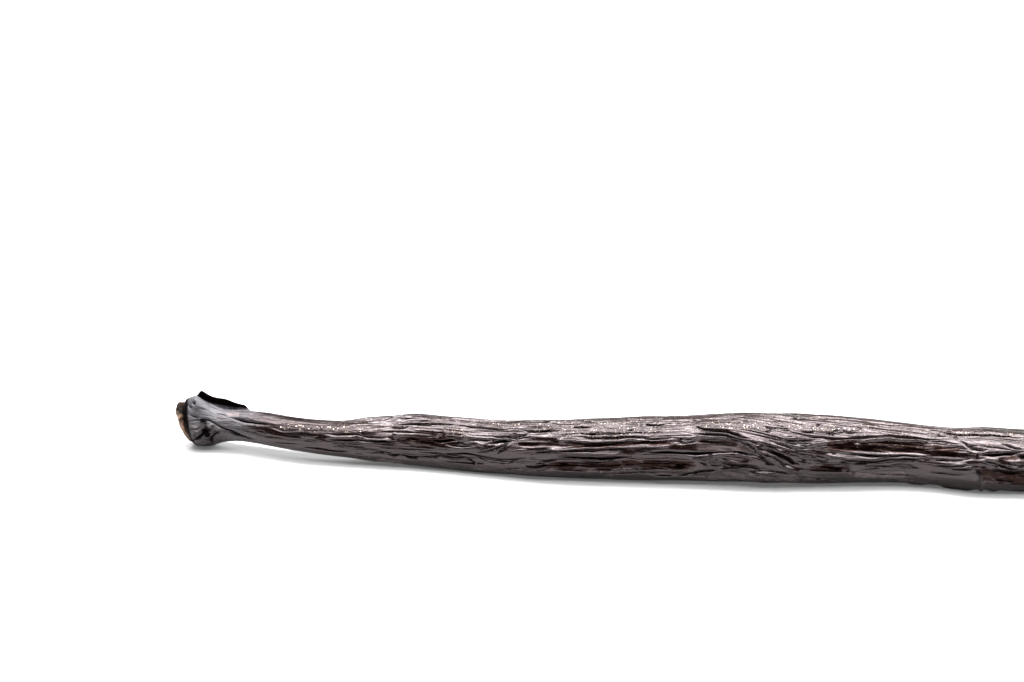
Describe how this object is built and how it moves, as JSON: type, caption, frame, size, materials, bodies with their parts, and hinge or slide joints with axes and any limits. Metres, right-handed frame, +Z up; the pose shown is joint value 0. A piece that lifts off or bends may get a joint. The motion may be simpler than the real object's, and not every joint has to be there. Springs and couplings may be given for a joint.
{
  "type": "vanilla pod",
  "caption": "Cured vanilla pod, long, dark and wrinkled, with a cut woody stub in a flared shoulder, a thin neck and a blunt tip.",
  "frame": {"origin": "middle of the pod's footprint, on the surface that it lies on", "axes": "+X from the cut stub to the tip, +Y to the back of the lying pod, +Z up"},
  "size_m": [0.1604, 0.017, 0.0073],
  "materials": {
    "pod_skin": "oily, wrinkled, nearly black brown"
  },
  "bodies": {
    "root": {"vanilla_pod": "pod_skin"}
  },
  "joints": []
}
